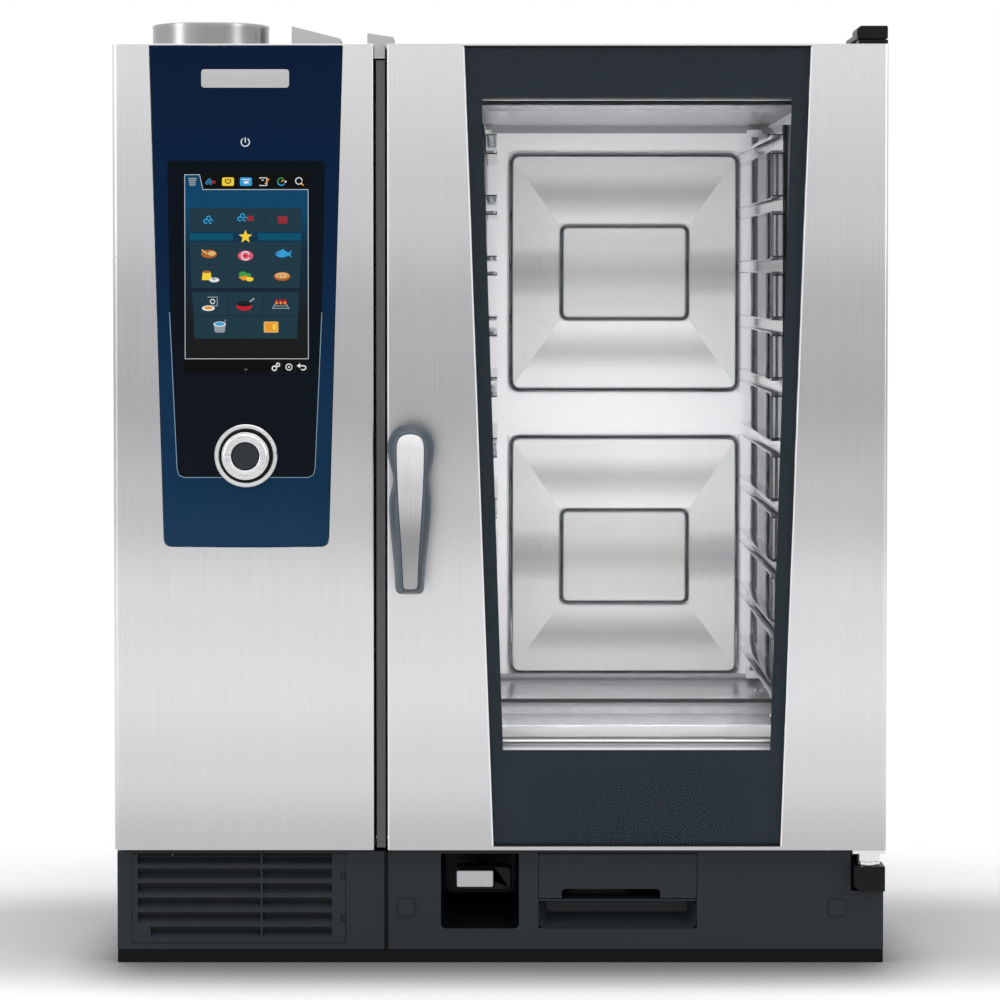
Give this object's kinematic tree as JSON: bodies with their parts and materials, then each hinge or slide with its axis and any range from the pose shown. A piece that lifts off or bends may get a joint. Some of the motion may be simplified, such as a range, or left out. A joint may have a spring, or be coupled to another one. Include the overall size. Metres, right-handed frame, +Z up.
{
  "type": "combi steamer oven",
  "caption": "Table-top combi steamer oven with a right-hinged glass door, hanging tray racks, touch control panel, dial, pull-out hand shower and care drawer.",
  "frame": {"origin": "middle of the footprint on the table, at the underside of the plinth", "axes": "+Z up, -Y towards the cook at the door, +X to the right seen from the front"},
  "size_m": [0.85, 0.842, 1.062],
  "materials": {
    "brushed_casing": "vertically brushed stainless sheet, satin",
    "cavity_steel": "fine brushed stainless sheet, lightly used",
    "rack_steel": "electropolished stainless rail and rod",
    "polished_metal": "satin polished metal",
    "inner_steel": "mill finish",
    "anthracite_panel": "fine textured moulded panel",
    "black_plastic": "fine textured",
    "plinth_black": "satin black powder coat",
    "handle_plastic": "blue-grey soft satin moulding",
    "control_glass": "opaque back-printed navy glass, glossy",
    "door_glass": "tinted reflective glass",
    "clear_glass": "clear float glass",
    "led_diffuser": "frosted white",
    "seal_rubber": "moulded silicone",
    "circuit_board": "green solder mask",
    "motor_cast": "cast",
    "insulation_wool": "pressed mineral wool",
    "valve_brass": "machined"
  },
  "bodies": {
    "cabinet": {"base_plinth": "plinth_black", "base_panel_left": "anthracite_panel", "base_panel_right": "anthracite_panel", "shower_holder": "black_plastic", "chassis_frame": "inner_steel", "side_panel_left": "brushed_casing", "side_panel_right": "brushed_casing", "rear_panel": "brushed_casing", "top_panel": "brushed_casing", "vent_pipe": "brushed_casing", "vent_cowl_large": "brushed_casing", "vent_cowl_small": "brushed_casing", "control_cover": "brushed_casing", "control_glass": "control_glass", "display_module": "black_plastic", "control_board": "circuit_board", "dial_bezel": "polished_metal", "channel_strip": "anthracite_panel", "power_board": "circuit_board", "front_frame": "cavity_steel", "door_seal": "seal_rubber", "latch_catch": "inner_steel", "cavity_shell": "cavity_steel", "insulation_jacket": "insulation_wool", "condenser_box": "inner_steel", "drain_pipe": "black_plastic", "air_baffle": "cavity_steel", "fan_motor_upper": "motor_cast", "fan_motor_lower": "motor_cast", "heater_coil_upper": "inner_steel", "heater_coil_lower": "inner_steel", "steam_generator": "inner_steel", "water_inlets": "valve_brass", "cable_gland": "black_plastic", "hinge_bracket_top": "black_plastic", "hinge_bracket_bottom": "anthracite_panel", "hinge_washer": "polished_metal"},
    "door": {"door_shell": "brushed_casing", "door_glass_outer": "door_glass", "door_rear_frame": "cavity_steel", "door_glass_holder": "black_plastic", "door_glass_inner": "clear_glass", "door_glass_middle": "clear_glass", "door_led_strip": "led_diffuser", "door_drip_tray": "cavity_steel", "door_hinge_pin_top": "black_plastic", "door_hinge_pin_bottom": "inner_steel"},
    "handle": {"handle_grip": "handle_plastic", "handle_inlay": "polished_metal", "latch_bolt": "inner_steel"},
    "dial_button": {"dial_button": "anthracite_panel"},
    "dial_knob": {"dial_knob": "polished_metal"},
    "fan_upper": {"fan_wheel_upper": "cavity_steel"},
    "fan_lower": {"fan_wheel_lower": "cavity_steel"},
    "rack_left": {"rack_left": "rack_steel"},
    "rack_right": {"rack_right": "rack_steel"},
    "air_filter": {"air_filter": "anthracite_panel"},
    "care_drawer": {"care_drawer": "anthracite_panel"},
    "hand_shower": {"hand_shower": "black_plastic"},
    "shower_lever": {"shower_lever": "polished_metal"}
  },
  "joints": [
    {"name": "door_swing", "type": "hinge", "parent": "cabinet", "child": "door", "pos_m": [0.407, -0.335, 0.57], "axis": [0, 0, 1], "range_deg": [0, 180]},
    {"name": "handle_turn", "type": "hinge", "parent": "door", "child": "handle", "pos_m": [-0.097, -0.354, 0.576], "axis": [0, 1, 0], "range_deg": [-45, 45], "stiffness_Nm_per_rad": 2},
    {"name": "dial_press", "type": "slide", "parent": "cabinet", "child": "dial_button", "axis": [0, 1, 0], "range_m": [0, 0.0015], "stiffness_N_per_m": 1500, "springref_m": -0.001},
    {"name": "dial_turn", "type": "hinge", "parent": "dial_button", "child": "dial_knob", "pos_m": [-0.2789, -0.364, 0.5633], "axis": [0, 1, 0], "continuous": true},
    {"name": "fan_upper_spin", "type": "hinge", "parent": "cabinet", "child": "fan_upper", "pos_m": [-0.11, -0.005, 0.773], "axis": [1, 0, 0], "continuous": true},
    {"name": "fan_lower_spin", "type": "hinge", "parent": "cabinet", "child": "fan_lower", "pos_m": [-0.11, -0.005, 0.421], "axis": [1, 0, 0], "continuous": true},
    {"name": "rack_left_swing", "type": "hinge", "parent": "cabinet", "child": "rack_left", "pos_m": [-0.0214, 0.228, 0.6], "axis": [0, 0, 1], "range_deg": [0, 16]},
    {"name": "rack_right_swing", "type": "hinge", "parent": "cabinet", "child": "rack_right", "pos_m": [0.3212, 0.228, 0.6], "axis": [0, 0, -1], "range_deg": [0, 16]},
    {"name": "filter_pull", "type": "slide", "parent": "cabinet", "child": "air_filter", "axis": [0, -1, 0], "range_m": [0, 0.06]},
    {"name": "drawer_slide", "type": "slide", "parent": "cabinet", "child": "care_drawer", "axis": [0, -1, 0], "range_m": [0, 0.12]},
    {"name": "shower_pull", "type": "slide", "parent": "cabinet", "child": "hand_shower", "axis": [0, -1, 0], "range_m": [0, 0.1]},
    {"name": "shower_lever_squeeze", "type": "hinge", "parent": "hand_shower", "child": "shower_lever", "pos_m": [-0.01, -0.316, 0.092], "axis": [0, 0, -1], "range_deg": [0, 8], "stiffness_Nm_per_rad": 1.2, "springref_deg": -8.59}
  ]
}
